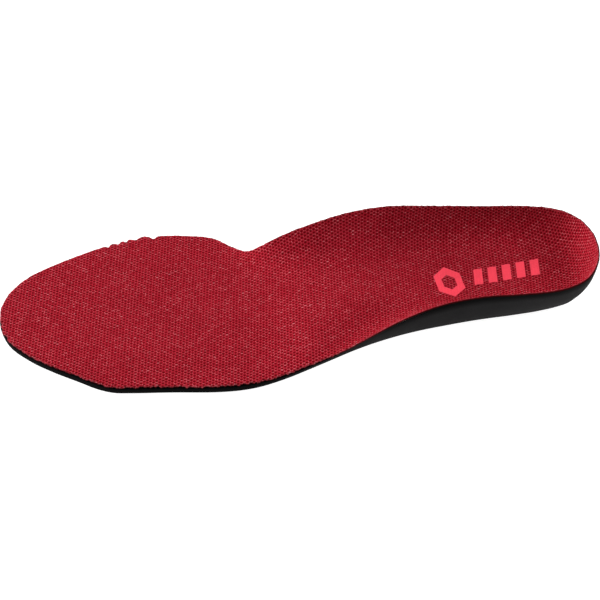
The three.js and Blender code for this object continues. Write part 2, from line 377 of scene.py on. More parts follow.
def fill_outline(outline: Array, within: Array, holes: tuple = ()) -> Array:
    """Fills a closed outline with triangles, through the points inside it and round any holes.

    Args:
        outline: the loop's corners.
        within: points inside it.
        holes: closed loops inside it that stay open.

    Returns:
        Triangles that number the outline's corners first, then the holes' and then the points.
    """
    loops = [outline, *holes]
    edges, at = [], 0
    for loop in loops:
        edges += [(at + i, at + (i + 1) % len(loop)) for i in range(len(loop))]
        at += len(loop)
    flat = np.vstack([*loops, within])
    _, _, faces, origin, _, _ = delaunay_2d_cdt([Vector(p) for p in flat], edges, [], 0, 1e-9, True)
    first = np.array([o[0] if o else -1 for o in origin])
    faces = first[np.array(faces)]
    border = (faces < at).all(1)
    middle = flat[faces[border]].mean(1)
    good = inside(middle, outline)
    for hole in holes:
        good &= ~inside(middle, hole)
    keep = (faces >= 0).all(1)
    keep[border] &= good
    return faces[keep]


# ---- shader helper


class Value:
    """A shader socket that takes part in Python arithmetic through Math nodes."""

    def __init__(self, graph: "Graph", socket: bpy.types.NodeSocket) -> None:
        """Keeps the graph that the nodes are added to and the socket."""
        self.graph = graph
        self.socket = socket

    def _math(self, operation: str, *terms: object) -> "Value":
        """A Math node on these terms."""
        return self.graph.node("Math", {"operation": operation}, dict(enumerate(terms)))

    def __add__(self, other: object) -> "Value":
        """self + other."""
        return self._math("ADD", self, other)

    def __radd__(self, other: object) -> "Value":
        """other + self."""
        return self._math("ADD", other, self)

    def __sub__(self, other: object) -> "Value":
        """self - other."""
        return self._math("SUBTRACT", self, other)

    def __rsub__(self, other: object) -> "Value":
        """other - self."""
        return self._math("SUBTRACT", other, self)

    def __mul__(self, other: object) -> "Value":
        """self * other."""
        return self._math("MULTIPLY", self, other)

    def __rmul__(self, other: object) -> "Value":
        """other * self."""
        return self._math("MULTIPLY", other, self)

    def clamped(self) -> "Value":
        """The value held between 0 and 1."""
        return self.graph.node("Math", {"operation": "ADD", "use_clamp": True}, {0: self, 1: 0.0})


class Graph:
    """The nodes of one material."""

    def __init__(self, name: str) -> None:
        """Makes a material with a Principled shader alone.

        Args:
            name: the material's name.
        """
        self.material = bpy.data.materials.new(name)
        self.material.use_nodes = True
        self.tree = self.material.node_tree
        self.shader = next(n for n in self.tree.nodes if n.type == "BSDF_PRINCIPLED")

    def node(self, kind: str, settings: dict, inputs: dict, output: object = 0) -> Value:
        """Adds a node.

        Args:
            kind: its type without the ShaderNode prefix.
            settings: its properties, set before its sockets, and the stops of a ramp.
            inputs: values or links by socket name or number.
            output: the name or number of the socket returned.

        Returns:
            That output, ready for arithmetic.
        """
        node = self.tree.nodes.new("ShaderNode" + kind)
        for key, value in settings.items():
            if key == "stops":
                ramp = node.color_ramp
                while len(ramp.elements) < len(value):
                    ramp.elements.new(0.5)
                for element, (place, colour) in zip(ramp.elements, value):
                    element.position, element.color = place, (*colour, 1)
            else:
                setattr(node, key, value)
        self.fill(node, inputs)
        return Value(self, node.outputs[output])

    def fill(self, node: bpy.types.Node, inputs: dict) -> None:
        """Sets or links a node's sockets.

        Args:
            node: the node.
            inputs: values or links by socket name or number.
        """
        for key, value in inputs.items():
            if isinstance(value, Value):
                self.tree.links.new(value.socket, node.inputs[key])
            else:
                node.inputs[key].default_value = value

    def principled(self, **inputs: object) -> bpy.types.Material:
        """Fills the shader's sockets, named with underscores, and returns the material."""
        self.fill(self.shader, {key.replace("_", " "): value for key, value in inputs.items()})
        return self.material

    def place(self) -> Value:
        """Object coordinates, in metres."""
        return self.node("TexCoord", {}, {}, "Object")

    def attribute(self, name: str) -> Value:
        """The value of a mesh attribute."""
        return self.node("Attribute", {"attribute_name": name}, {}, "Fac")

    def noise(self, at: Value, scale: float, detail: float = 2.0, rough: float = 0.5) -> Value:
        """Noise from 0 to 1 at a number of grains to the metre."""
        inputs = {"Vector": at, "Scale": scale, "Detail": detail, "Roughness": rough}
        return self.node("TexNoise", {}, inputs, 0)

    def blend(self, share: Value, low: object, high: object) -> Value:
        """Mixes two colours.

        Args:
            share: 0 for the first colour and 1 for the second.
            low: the first colour or a link to one.
            high: the second.

        Returns:
            The mixed colour.
        """
        low, high = (c if isinstance(c, Value) else (*c, 1) for c in (low, high))
        return self.node("Mix", {"data_type": "RGBA"}, {0: share, 6: low, 7: high}, 2)

    def scaled(self, at: Value, factors: tuple) -> Value:
        """A vector with each part multiplied."""
        return self.node("VectorMath", {"operation": "MULTIPLY"}, {0: at, 1: factors})

    def bump(self, height: Value, strength: float, distance: float) -> Value:
        """A normal bent by a height."""
        inputs = {"Height": height, "Strength": strength, "Distance": distance}
        return self.node("Bump", {}, inputs, "Normal")


# ---- finishes


@dataclass(frozen=True)
class KnitFinish:
    """Red polyester knit, its holes darker with painted shade on top of their own dark, and the crowns
    of its yarns paler with a painted highlight.
    """

    # crown: the knit's red with a painted highlight, a whitish sheen on the crowns.
    crown: tuple = (0.49, 0.165, 0.18)
    yarn: tuple = (0.335, 0.008, 0.020)
    # pit: painted shade in the holes, added to the holes' own dark.
    pit: tuple = (0.085, 0.0, 0.001)
    # fray: dark fibres of the cut edge, also used as painted shade on the edge's side and underside.
    fray: tuple = (0.03, 0.001, 0.0015)
    stops: tuple = (0.08, 0.46, 0.78)
    fibre_scale: tuple = (3.0, 11.0, 1.0)
    patch_scale: float = 60.0
    fibre_tone: float = 0.12
    patch_tone: float = 0.08
    roughness: float = 0.82

    def material(self) -> bpy.types.Material:
        """Builds the material from the attributes pit and edge and the UV map Knit; pit paints a
        highlight on the crowns and shade in the holes, and edge paints the dark cut edge, partly as
        shade.

        Returns:
            The material.
        """
        g = Graph("knit_red")
        flat = g.node("UVMap", {"uv_map": "Knit"}, {}, "UV")
        fibres = g.noise(g.scaled(flat, self.fibre_scale), 1.0, 3.0, 0.6)
        patches = g.noise(g.place(), self.patch_scale)
        # Tone from the pit attribute: low on the crowns for the painted highlight, high in the holes for
        # painted shade.
        tone = g.attribute("pit") + (0.5 - fibres) * self.fibre_tone + (0.5 - patches) * self.patch_tone
        stops = list(zip(self.stops, (self.crown, self.yarn, self.pit)))
        colour = g.node("ValToRGB", {"stops": stops}, {"Fac": tone.clamped()}, "Color")
        return g.principled(
            # The edge attribute blends in the dark fray colour: dark fibres along the cut, and painted
            # shade on the cut edge's side and underside.
            Base_Color=g.blend(g.attribute("edge"), colour, self.fray),
            Roughness=self.roughness + fibres * 0.1,
            Normal=g.bump(fibres, 0.35, 0.0001),
            Specular_IOR_Level=0.05,
        )


@dataclass(frozen=True)
class FoamFinish:
    """Black moulded foam with a fine mottled skin, and painted shade, near black, under the cover's rim.
    """

    low: tuple = (0.008, 0.0076, 0.008)
    high: tuple = (0.021, 0.020, 0.0205)
    # cut: near-black painted shade under the overhanging cover, not a colour of the foam.
    cut: tuple = (0.0008, 0.0008, 0.0008)
    grain_scale: float = 1500.0
    cloud_scale: float = 90.0
    cell_scale: float = 1300.0
    roughness: float = 0.75

    def material(self) -> bpy.types.Material:
        """Builds the material on Object coordinates and the attribute cut, which paints shade under the
        rim.

        Returns:
            The material.
        """
        g = Graph("foam_black")
        at = g.place()
        grain = g.noise(at, self.grain_scale, 3.0, 0.6)
        cloud = g.noise(at, self.cloud_scale, 3.0)
        share = (grain * 0.7 + cloud * 0.6 - 0.15).clamped()
        cells = g.node("TexVoronoi", {}, {"Vector": at, "Scale": self.cell_scale}, "Distance")
        skin = g.blend(share, self.low, self.high)
        return g.principled(
            # The attribute cut blends in the painted shade under the rim.
            Base_Color=g.blend(g.attribute("cut"), skin, self.cut),
            Roughness=self.roughness + grain * 0.2,
            Normal=g.bump(grain * 0.6 + cells * 0.4, 0.5, 0.00025),
            Specular_IOR_Level=0.05,
        )


@dataclass(frozen=True)
class CushionFinish:
    """Dark grey elastomer of the pads in the underside."""

    low: tuple = (0.035, 0.035, 0.04)
    high: tuple = (0.06, 0.06, 0.066)
    cloud_scale: float = 140.0
    grain_scale: float = 2200.0
    roughness: float = 0.42

    def material(self) -> bpy.types.Material:
        """Builds the material on Object coordinates.

        Returns:
            The material.
        """
        g = Graph("cushion_grey")
        at = g.place()
        grain = g.noise(at, self.grain_scale)
        return g.principled(
            Base_Color=g.blend(g.noise(at, self.cloud_scale, 3.0), self.low, self.high),
            Roughness=self.roughness + grain * 0.15,
            Normal=g.bump(grain, 0.2, 0.0001),
        )


@dataclass(frozen=True)
class GlueFinish:
    """Cloudy hot-melt film."""

    low: tuple = (0.62, 0.56, 0.38)
    high: tuple = (0.74, 0.69, 0.52)
    cloud_scale: float = 300.0
    roughness: float = 0.4

    def material(self) -> bpy.types.Material:
        """Builds the material on Object coordinates.

        Returns:
            The material.
        """
        g = Graph("glue_film")
        cloud = g.noise(g.place(), self.cloud_scale, 3.0)
        return g.principled(
            Base_Color=g.blend(cloud, self.low, self.high),
            Roughness=self.roughness + cloud * 0.2,
        )


@dataclass(frozen=True)
class InkFinish:
    """Bright pink transfer ink, slightly worn over the knit."""

    base: tuple = (0.83, 0.05, 0.085)
    worn: tuple = (0.74, 0.04, 0.07)
    cloud_scale: float = 420.0
    grain_scale: float = 3000.0
    roughness: float = 0.55

    def material(self) -> bpy.types.Material:
        """Builds the material on Object coordinates.

        Returns:
            The material.
        """
        g = Graph("ink_pink")
        at = g.place()
        wear = (g.noise(at, self.cloud_scale, 3.0, 0.6) * 1.6 - 0.4).clamped()
        grain = g.noise(at, self.grain_scale)
        return g.principled(
            Base_Color=g.blend(wear, self.base, self.worn),
            Roughness=self.roughness + grain * 0.15,
            Normal=g.bump(grain, 0.25, 0.00008),
            Specular_IOR_Level=0.3,
        )


@dataclass(frozen=True)
class FloorFinish:
    """Plain white studio floor with a trace of unevenness."""

    colour: tuple = (0.4, 0.4, 0.4)
    pale: float = 0.985
    cloud_scale: float = 4.0
    glow: float = 0.95

    def material(self) -> bpy.types.Material:
        """Builds the material on Object coordinates.

        Returns:
            The material.
        """
        g = Graph("floor_white")
        pale = tuple(c * self.pale for c in self.colour)
        return g.principled(
            Base_Color=g.blend(g.noise(g.place(), self.cloud_scale), self.colour, pale),
            Roughness=0.9,
            Specular_IOR_Level=0.0,
            Emission_Color=(1, 1, 1, 1),
            Emission_Strength=self.glow,
        )


# ---- studio


def direction(azimuth: float, elevation: float) -> Vector:
    """The way at degrees from the toe's towards the lateral side, and degrees above the floor."""
    around, up = math.radians(azimuth), math.radians(elevation)
    return Vector((math.cos(around) * math.cos(up), math.sin(around) * math.cos(up), math.sin(up)))


@dataclass
class Studio:
    """Camera, lights and floor."""

    distance: float = 0.94
    azimuth: float = 85.0
    elevation: float = 46.0
    width: float = 0.26667
    aim: tuple = (-0.00006, -0.00035, 0.005)
    sensor: float = 36.0
    clip: tuple = (0.05, 20.0)
    floor_half: float = 2.5
    floor_drop: float = 0.0004
    world: float = 0.04
    box_size: float = 0.6
    box_distance: float = 1.5
    boxes: tuple = (
        # name, azimuth, elevation, watts
        ("toe_key", -35, 20, 22.0),
        ("toe_high", -10, 45, 5.0),
        ("toe_low", 0, 20, 20.0),
        ("heel_fill", 180, 40, 16.5),
        ("front_fill", 90, 30, 3.5),
    )

    def middle(self) -> Vector:
        """The point on the floor below the middle of the CAD model."""
        low, high = CAD_BOX
        return Vector(((low.x + high.x) / 2, (low.y + high.y) / 2, 0))

    def facing(self, name: str, data: bpy.types.ID, target: Vector, back: Vector) -> Piece:
        """Adds a camera or light that faces a point.

        Args:
            name: its name.
            data: its settings.
            target: the point.
            back: the way from the point to it.

        Returns:
            The camera or light.
        """
        item = linked(name, data)
        item.location = target + back
        item.rotation_euler = back.to_track_quat("Z", "Y").to_euler()
        return item

    def camera(self) -> None:
        """Puts the camera on the lateral side, a little towards the toe."""
        data = bpy.data.cameras.new("camera")
        data.sensor_width = self.sensor
        data.lens = self.sensor * self.distance / self.width
        data.clip_start, data.clip_end = self.clip
        back = direction(self.azimuth, self.elevation) * self.distance
        bpy.context.scene.camera = self.facing("camera", data, self.middle() + Vector(self.aim), back)

    def lights(self) -> None:
        """A low key from the toe and the medial side, soft fills and a dim room."""
        for name, azimuth, elevation, power in self.boxes:
            data = bpy.data.lights.new(name, "AREA")
            data.shape = "SQUARE"
            data.size = self.box_size
            data.energy = power
            self.facing(name, data, self.middle(), direction(azimuth, elevation) * self.box_distance)
        world = bpy.data.worlds.new("room")
        world.use_nodes = True
        background = next(n for n in world.node_tree.nodes if n.type == "BACKGROUND")
        background.inputs["Color"].default_value = (1, 1, 1, 1)
        background.inputs["Strength"].default_value = self.world
        bpy.context.scene.world = world
        bpy.context.scene.view_settings.view_transform = "Standard"

    def floor(self) -> None:
        """Lays the floor just under the insole."""
        bpy.ops.object.select_all(action="DESELECT")
        at = self.middle() - UP * self.floor_drop
        bpy.ops.mesh.primitive_plane_add(size=2 * self.floor_half, location=at)
        floor = bpy.context.object
        floor.name = "floor"
        floor.data.materials.append(FloorFinish().material())

    def build(self) -> None:
        """Builds the whole studio."""
        self.camera()
        self.lights()
        self.floor()


# ---- footbed


@dataclass
class Footbed:
    """The moulded upper side of the foam, as a smooth grid read from the CAD cover.

    The grid's first axis runs round the rim, and its second from the spine to a little past the rim.
    """

    cad_rise: float = 1.65 * MM
    rim_angle: float = 50.0
    steps: int = 4
    skirt: tuple = (1.0 * MM, 2.0 * MM, 3.2 * MM)
    forefoot_from: float = 0.1
    unwrap_steps: int = 40
    lip_width: float = 6.5 * MM
    lip_from: float = 0.1
    lip_full: float = 0.5
    lateral_lip: tuple = (
        # along the foot, depth of the dip inside the rim
        (-30 * MM, 1.2 * MM),
        (0, 0.9 * MM),
        (40 * MM, 0.5 * MM),
        (58 * MM, 1.4 * MM),
        (82 * MM, 1.4 * MM),
        (98 * MM, 0.0),
    )
    medial_lip: tuple = ((-30 * MM, 1.2 * MM), (-10 * MM, 1.5 * MM), (30 * MM, 1.5 * MM), (55 * MM, 0.0))

    def read(self) -> Array:
        """Reads the rays and rings of the CAD cover's upper side.

        Returns:
            An array of (rays, rings, 3), with the spine first.
        """
        mesh = merged_copy("top_cover")
        side = self._upper_side(mesh)
        near = {}
        for face in side:
            for corner in face.verts:
                near.setdefault(corner, set()).update(v for v in face.verts if v != corner)
        border = {e for f in side for e in f.edges if not side.issuperset(e.link_faces)}
        last = {v for e in border for v in e.verts}
        level = dict.fromkeys(last, 0)
        count = 1
        while last := {n for v in last for n in near[v] if n not in level}:
            level.update(dict.fromkeys(last, count))
            count += 1
        options = []
        for turn in (0, -1):
            loops = [self._walk(near, level, turn)]
            for number in range(1, count):
                found = [{n for n in near[v] if level[n] == number} for v in loops[-1]]
                pairs = zip(found, found[1:] + found[:1])
                loops.append([min((a - b) or a, key=lambda v: v.index) for a, b in pairs])
            grid = np.array([[v.co[:] for v in ring] for ring in reversed(loops)])
            spread = np.linalg.norm(np.diff(grid, axis=0), axis=2).sum()
            options.append((spread, grid.transpose(1, 0, 2)))
        mesh.free()
        return min(options, key=lambda option: option[0])[1]

    def _upper_side(self, mesh: bmesh.types.BMesh) -> set:
        """Gathers the faces of the cover's upper side.

        Args:
            mesh: the cover's mesh.

        Returns:
            The faces that are joined to the uppermost one without a sharp edge.
        """
        start = max(mesh.faces, key=lambda f: (round(f.normal.z, 4), f.calc_center_median().x))
        side, queue = {start}, [start]
        while queue:
            for edge in queue.pop().edges:
                if edge.calc_face_angle(0) < math.radians(self.rim_angle):
                    fresh = [f for f in edge.link_faces if f not in side]
                    side.update(fresh)
                    queue.extend(fresh)
        return side

    @staticmethod
    def _walk(near: dict, level: dict, turn: int) -> list:
        """Goes once round the rim from its furthest point.

        Args:
            near: the neighbours of each corner.
            level: the ring that each corner is on, with 0 for the rim.
            turn: 0 or -1, for the way that it goes.

        Returns:
            The rim's corners in order.
        """
        start = max((v for v in level if level[v] == 0), key=lambda v: v.co.x)
        sides = sorted((n for n in near[start] if level[n] == 0), key=lambda v: v.co.y)
        loop = [start, sides[turn]]
        while True:
            ahead = [n for n in near[loop[-1]] if level[n] == 0 and n != loop[-2]]
            if ahead[0] == start:
                return loop
            loop.append(ahead[0])

    def build(self) -> None:
        """Refines the grid, lays it on the foam, and flattens it."""
        coarse = self.read()
        inner = 2 * coarse[:, 0] - coarse[:, 1]
        inner[:, 2] = coarse[:, 1, 2]
        outer = 3 * coarse[:, -1] - 3 * coarse[:, -2] + coarse[:, -3]
        rows = [inner, *coarse.transpose(1, 0, 2), outer]
        shares = [k / self.steps for k in range(self.steps)]
        finer = [through(rows[j : j + 4], share) for j in range(len(rows) - 3) for share in shares]
        rough = np.stack([*finer, rows[-2]], axis=1)
        smooth = refine_loop(rough, self.steps)
        ahead = np.roll(rough, -1, axis=0)
        chords = np.stack([rough + (ahead - rough) * share for share in shares], axis=1)
        bend = np.clip(np.arange(rough.shape[1]) / self.steps, 0, 1)[:, None] ** 2
        grid = self.lipped(chords.reshape(smooth.shape) * (1 - bend) + smooth * bend)
        tangent = grid[:, -1] - grid[:, -2]
        tangent /= np.linalg.norm(tangent, axis=1, keepdims=True)
        self.rim_row = grid.shape[1] - 1
        skirt = [grid[:, -1] + tangent * d for d in self.skirt]
        self._number(np.concatenate([grid, np.stack(skirt, axis=1)], axis=1))
        bed = new_object("bed", self.points, self.faces(self.quads.shape[1]))
        normals = np.zeros(self.points.size)
        bed.data.vertex_normals.foreach_get("vector", normals)
        self.normals = normals.reshape(-1, 3)
        self.points = self.points - self.normals * self.cad_rise
        self._flatten(bed)

    def lipped(self, grid: Array) -> Array:
        """Sinks the cup a little inside its rim, so that the rim stands up as a lip.

        Args:
            grid: the surface's points, with the spine first.

        Returns:
            The points, with the rim and the spine where they were.
        """
        rim = grid[:, -1]
        far = np.linalg.norm(grid - rim[:, None], axis=2) / self.lip_width
        lateral = np.interp(rim[:, 0], *np.array(self.lateral_lip).T)
        medial = np.interp(rim[:, 0], *np.array(self.medial_lip).T)
        strength = np.where(rim[:, 1] > 0, lateral, medial)
        outward = np.linspace(0, 1, grid.shape[1])
        free = np.clip((outward - self.lip_from) / (self.lip_full - self.lip_from), 0, 1)
        sunk = grid.copy()
        sunk[:, :, 2] -= strength[:, None] * far * np.exp(1 - far) * free
        return sunk

    def _number(self, grid: Array) -> None:
        """Numbers the grid's points, with the spine's shared by both sides, and lists its faces.

        Args:
            grid: the points, with the spine first.
        """
        around, across = grid.shape[:2]
        spine, first, shared = np.unique(
            np.round(grid[:, 0], 6), axis=0, return_index=True, return_inverse=True
        )
        self.index = np.zeros((around, across), int)
        self.index[:, 0] = shared.ravel()
        self.index[:, 1:] = len(spine) + np.arange(around * (across - 1)).reshape(around, -1)
        self.points = np.vstack([grid[first, 0], grid[:, 1:].reshape(-1, 3)])
        here, there = self.index, np.roll(self.index, -1, axis=0)
        quads = np.stack([here[:, :-1], here[:, 1:], there[:, 1:], there[:, :-1]], axis=2)
        corners = self.points[quads[0, -1:, :3]][:, :, :2]
        upside_down = twice_area(*corners.transpose(1, 0, 2))[0] < 0
        self.quads = quads[:, :, ::-1] if upside_down else quads

    def faces(self, rows: int) -> list:
        """The grid's faces from the spine out to a row, without those that have no area."""
        found = [list(dict.fromkeys(quad)) for quad in self.quads[:, :rows].reshape(-1, 4).tolist()]
        return [corners for corners in found if len(corners) > 2]

    def patch(self, last: int) -> tuple:
        """Takes the part of the surface from the spine out to a row.

        Args:
            last: the row's number.

        Returns:
            The numbers of its points, each point's place among them, and its faces in those places.
        """
        keep = np.unique(self.index[:, : last + 1])
        number = np.full(len(self.points), -1)
        number[keep] = np.arange(len(keep))
        return keep, number, [number[face].tolist() for face in self.faces(last)]

    def _flatten(self, bed: Piece) -> None:
        """Lays the surface out flat with little stretch, in metres, in line with the forefoot.

        Args:
            bed: the surface as an object, which is used up.
        """
        bed.data.vertices.foreach_set("co", self.points.ravel())
        make_active(bed)
        bpy.ops.object.mode_set(mode="EDIT")
        bpy.ops.mesh.select_all(action="SELECT")
        bpy.ops.uv.unwrap(method="MINIMUM_STRETCH", iterations=self.unwrap_steps, margin=0.0)
        bpy.ops.object.mode_set(mode="OBJECT")
        uv = np.zeros(len(bed.data.loops) * 2)
        bed.data.uv_layers.active.uv.foreach_get("vector", uv)
        flat = np.zeros((len(self.points), 2))
        flat[loop_corners(bed.data)] = uv.reshape(-1, 2)
        bpy.data.objects.remove(bed)
        fore = self.points[:, 0] > self.forefoot_from
        source = flat[fore, 0] + 1j * flat[fore, 1]
        target = self.points[fore, 0] + 1j * self.points[fore, 1]
        middle, goal = source.mean(), target.mean()
        factor = np.vdot(source - middle, target - goal) / np.vdot(source - middle, source - middle)
        laid = (flat[:, 0] + 1j * flat[:, 1] - middle) * factor + goal
        self.flat = np.stack([laid.real, laid.imag], axis=1)
        faces = self.faces(self.quads.shape[1])
        triangles = [(f[0], f[k], f[k + 1]) for f in faces for k in range(1, len(f) - 1)]
        self.triangles = np.array(triangles)
        self.tree = BVHTree.FromPolygons([Vector((x, y, 0)) for x, y in self.flat], triangles)

    def lift(self, flat: Array, height: Array) -> Array:
        """Carries flat points onto the foam.

        Args:
            flat: an (n, 2) array of places in the flat map.
            height: how far each is raised along the foam's normal.

        Returns:
            The points as an (n, 3) array.
        """
        found = [self.tree.find_nearest(Vector((x, y, 0)))[2] for x, y in flat]
        corners = self.triangles[found]
        a, b, c = (self.flat[corners[:, k]] for k in range(3))
        parts = [twice_area(b, c, flat), twice_area(c, a, flat), twice_area(a, b, flat)]
        share = (np.stack(parts, axis=1) / twice_area(a, b, c)[:, None])[:, :, None]
        base = (self.points[corners] * share).sum(1)
        normal = (self.normals[corners] * share).sum(1)
        normal /= np.linalg.norm(normal, axis=1, keepdims=True)
        return base + normal * np.asarray(height)[:, None]

    def rim(self) -> Array:
        """The foam's rim, round the insole."""
        return self.points[self.index[:, self.rim_row]]

    def flat_row(self, row: int) -> Array:
        """A row of the grid in the flat map."""
        return self.flat[self.index[:, row]]


# ---- cover


@dataclass
class KnitCover:
    """The knitted air mesh: a honeycomb of small holes, cut along the rim."""

    footbed: Footbed
    row_step: tuple = (1.412 * MM, 0.786 * MM)
    wale_step: tuple = (0.1375 * MM, 1.572 * MM)
    hole: tuple = (0.76, 0.70)
    hole_shift: float = 0.035 * MM
    hole_spread: float = 0.07
    crown_shift: float = 0.03 * MM
    # Pit mark on the crowns, kept low, which paints their highlight.
    crown_highlight_mark: tuple = (0.08, 0.03)
    pit_shift: float = 0.05 * MM
    bottom: float = 0.12 * MM
    crown: float = 0.95 * MM
    lip: float = 0.86 * MM
    pit: float = 0.5 * MM
    # Pit marks: on the rim a little paler as painted sheen, on the belly and underside darker as painted
    # shade, and in the holes darker as painted shade.
    rim_sheen_and_shade_marks: tuple = (0.3, 0.6, 0.8)
    hole_shade_marks: tuple = (0.5, 1.0)
    tufts: tuple = (0.25, 1.0)
    calm_tufts: float = 0.6
    fuzz_tufts: tuple = (-0.2, 0.5)
    # Edge marks for the belly and underside: the dark fray colour there is painted shade as well as dark
    # fibres.
    edge_fibre_and_shade_marks: tuple = (0.9, 1.0)
    rim_drop: float = 0.06 * MM
    rim_gap: float = 0.28 * MM
    belly_out: float = 0.06 * MM
    base_in: float = 0.1 * MM
    margin: float = 2 * MM
    under_step: float = 3.5 * MM
    under_reach: float = 300 * MM
    under_gap: float = 1.5 * MM
    overhang: float = 0.35 * MM
    worn_overhang: float = -0.35 * MM
    outline_steps: int = 6
    frays: tuple = ((1.1 * MM, 0.26 * MM), (2.6 * MM, 0.16 * MM))
    heel_fray: float = 0.3
    tuft: float = 0.12 * MM
    thin_foam: float = 8 * MM
    worn_fade: tuple = (3 * MM, 12 * MM)
    fuzz: float = 0.75 * MM
    notches: tuple = (
        # along the foot, half width, depth
        (184.4 * MM, 1.0 * MM, 1.1 * MM),
        (179.9 * MM, 1.1 * MM, 1.3 * MM),
        (176.2 * MM, 0.9 * MM, 1.2 * MM),
        (171.8 * MM, 1.5 * MM, 1.3 * MM),
        (167.8 * MM, 1.4 * MM, -0.4 * MM),
        (163.4 * MM, 1.5 * MM, 1.8 * MM),
    )
    seed: int = 7

    def cut(self, rng: np.random.Generator) -> Array:
        """Cuts the edge in the flat map, frayed, with a scalloped stretch on the medial side.

        Args:
            rng: the source of random numbers.

        Returns:
            The edge's corners as a closed loop.
        """
        loop = refine_loop(self.footbed.flat_row(self.footbed.rim_row), self.outline_steps)
        x, y, z = refine_loop(self.footbed.rim(), self.outline_steps).T
        step = np.linalg.norm(np.roll(loop, -1, axis=0) - loop, axis=1)
        along = np.concatenate([[0], np.cumsum(step)[:-1]]) / step.sum()
        fray = np.zeros(len(loop))
        for pitch, size in self.frays:
            count = round(step.sum() / pitch)
            knots = rng.normal(0, size, count)
            fray += np.interp(along * count, np.arange(count + 1), np.append(knots, knots[0]))
        fray += rng.normal(0, self.tuft, len(loop))
        worn = np.clip((self.thin_foam - z) / self.worn_fade[0], 0, 1)
        worn *= np.clip(y / self.worn_fade[1], 0, 1)
        fray *= self.heel_fray + (1 - self.heel_fray) * worn
        cuts = np.zeros(len(loop))
        for centre, width, depth in self.notches:
            cuts += depth * np.exp(-(((x - centre) / width) ** 2)) * (y < 0)
        overhang = self.overhang + (self.worn_overhang - self.overhang) * worn
        self.worn = worn
        return loop + loop_normals(loop) * (overhang + fray - cuts)[:, None]

    def cells(self, rng: np.random.Generator, outline: Array) -> tuple:
        """Lays the corners of the honeycomb inside the outline.

        Args:
            rng: the source of random numbers.
            outline: the cut edge.

        Returns:
            Their flat places, heights and depth marks, from 0 on a crown to 1 in a hole, which paint a
            highlight on the crowns and shade in the holes.
        """
        row, wale = np.array(self.row_step), np.array(self.wale_step)
        low, high = outline.min(0), outline.max(0)
        reach = int(max(high - low) / MM) + 5
        m, n = np.meshgrid(np.arange(-reach, reach), np.arange(-reach, reach), indexing="ij")
        centres = m.reshape(-1, 1) * row + n.reshape(-1, 1) * wale
        centres = centres[((centres > low - self.margin) & (centres < high + self.margin)).all(1)]
        count = len(centres)
        corners = [(row + wale) / 3, (2 * wale - row) / 3, (wale - 2 * row) / 3]
        corners += [-c for c in corners]
        middle = centres + rng.normal(0, self.hole_shift, centres.shape)
        size = 1 + rng.normal(0, self.hole_spread, count)
        deep = rng.normal(0, self.pit_shift, count)
        parts = []
        for corner in (corners[0], corners[3]):
            spot = centres + corner + rng.normal(0, self.crown_shift, centres.shape)
            height = self.crown + rng.normal(0, self.crown_shift, count)
            parts.append((spot, height, rng.normal(*self.crown_highlight_mark, count).clip(0, 1)))
        for corner in corners:
            spot = middle + np.array(self.hole) * corner * size[:, None]
            parts.append((spot, np.full(count, self.lip), np.full(count, self.hole_shade_marks[0])))
        parts.append((middle, self.pit + deep, np.full(count, self.hole_shade_marks[1])))
        places, heights, marks = (np.concatenate(part) for part in zip(*parts))
        keep = inside(places, outline)
        keep[keep] = away_from(places[keep], outline, self.rim_gap)
        return places[keep], heights[keep], marks[keep]

    def underside(self, outline: Array) -> Array:
        """Lays a coarse grid of points for the underside.

        Args:
            outline: the cut edge.

        Returns:
            Their flat places.
        """
        grid = np.arange(-self.under_reach, self.under_reach, self.under_step)
        under = np.stack(np.meshgrid(grid, grid, indexing="ij"), axis=2).reshape(-1, 2)
        under = under[inside(under, outline)]
        return under[away_from(under, outline, self.under_gap)]

    def build(self) -> Piece:
        """Builds the closed cover.

        Returns:
            The cover, with its attributes and UV map.
        """
        rng = np.random.default_rng(self.seed)
        self.outline = outline = self.cut(rng)
        places, heights, marks = self.cells(rng, outline)
        under = self.underside(outline)
        count, rest = len(outline), len(outline) + len(under)
        normals = loop_normals(outline)
        lift = self.footbed.lift
        rim = self.lip - self.rim_drop + rng.normal(0, self.crown_shift, count)
        top = lift(np.vstack([outline, places]), np.concatenate([rim, heights]))
        halfway = np.full(count, (self.lip + self.bottom) / 2)
        belly = lift(outline + normals * self.belly_out, halfway)
        inset = np.vstack([outline - normals * self.base_in, under])
        base = lift(inset, np.full(rest, self.bottom))
        numbers = np.arange(count)
        belly_at, base_at = len(top), len(top) + count
        faces = fill_outline(outline, places).tolist()
        faces += (base_at + fill_outline(outline, under)[:, ::-1]).tolist()
        faces += band(numbers, belly_at + numbers) + band(belly_at + numbers, base_at + numbers)
        self.object = new_object("knit_cover", np.vstack([top, belly, base]), faces)
        # The pit attribute paints a highlight on the crowns and shade in the holes, on the belly and on
        # the underside.
        at_rim, at_belly, at_base = self.rim_sheen_and_shade_marks
        lower = [np.full(count, at_belly), np.full(rest, at_base)]
        set_attribute(self.object, "pit", [np.full(count, at_rim), marks, *lower])
        tuft = rng.uniform(*self.tufts, count) * (self.calm_tufts + (1 - self.calm_tufts) * self.worn)
        fuzzy = ~away_from(places, outline, self.fuzz) & (places[:, 1] > 0)
        inner = np.where(fuzzy, rng.uniform(*self.fuzz_tufts, len(places)).clip(0), 0)
        # Along the cut the edge attribute sets random dark fibres; on the belly and underside it paints
        # shade.
        lower = [np.full(count, self.edge_fibre_and_shade_marks[0]), np.full(rest, self.edge_fibre_and_shade_marks[1])]
        set_attribute(self.object, "edge", [tuft, inner, *lower])
        self._map(np.vstack([outline, places, outline, outline, under]))
        face_outwards(self.object)
        dress(self.object, KnitFinish().material(), "top_cover", sharp=70)
        return self.object

